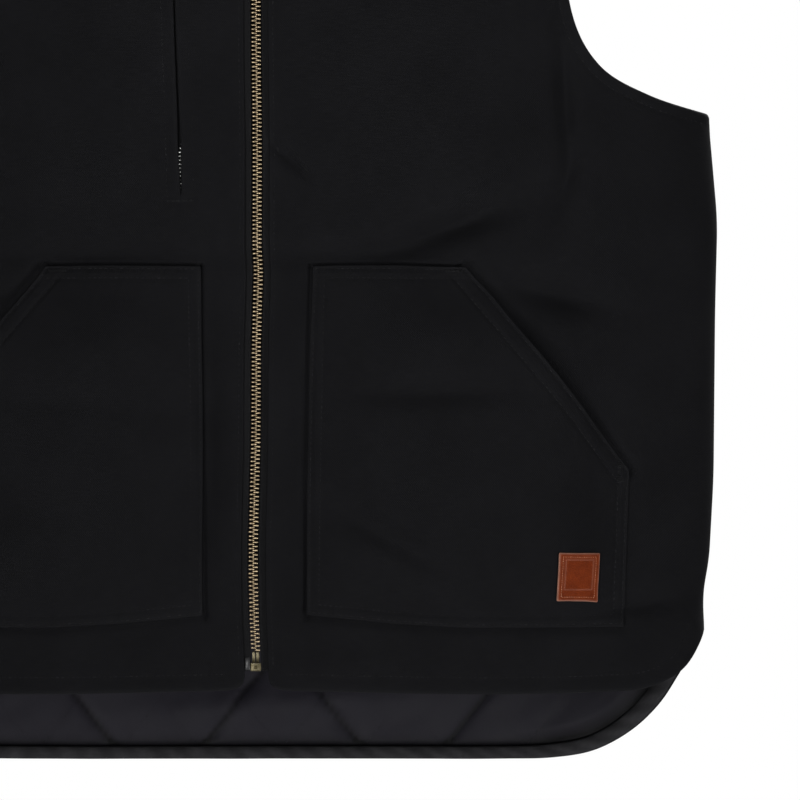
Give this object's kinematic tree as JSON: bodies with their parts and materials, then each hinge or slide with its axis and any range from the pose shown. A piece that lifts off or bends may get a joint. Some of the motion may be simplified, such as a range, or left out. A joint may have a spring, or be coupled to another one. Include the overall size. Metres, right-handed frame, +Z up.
{
  "type": "work vest",
  "caption": "Sleeveless work vest in black duck with a stand collar, brass front zip, slanted patch pockets, a zipped chest slit and a drop tail with a quilted lining.",
  "frame": {"origin": "middle of the neck, level with the high points of the shoulders, where the vest rests on a body or a hanger", "axes": "+Z up, +X to the wearer's left, the front faces -Y"},
  "size_m": [0.5834, 0.169, 0.771],
  "materials": {
    "canvas": "black cotton duck, matt, tightly woven",
    "lining": "dark grey nylon taffeta, quilted in diamonds, slight sheen",
    "zip_tape": "black woven tape, matt",
    "brass": "pale brass, lightly worn",
    "leather": "orange-brown leather, satin, bare"
  },
  "bodies": {
    "root": {"front_panel_left": "canvas", "front_panel_right": "canvas", "back_panel": "canvas", "back_lining": "lining", "tail_hem_strip": "canvas", "collar": "canvas", "hand_pocket_left": "canvas", "hand_pocket_right": "canvas", "zip_tape_left": "zip_tape", "zip_tape_right": "zip_tape", "zip_teeth_left": "brass", "zip_teeth_right": "brass", "zip_box": "brass", "zip_slider": "brass", "leather_patch": "leather", "chest_zip_tape": "zip_tape", "chest_zip_teeth": "brass", "chest_zip_slider": "brass"}
  },
  "joints": []
}
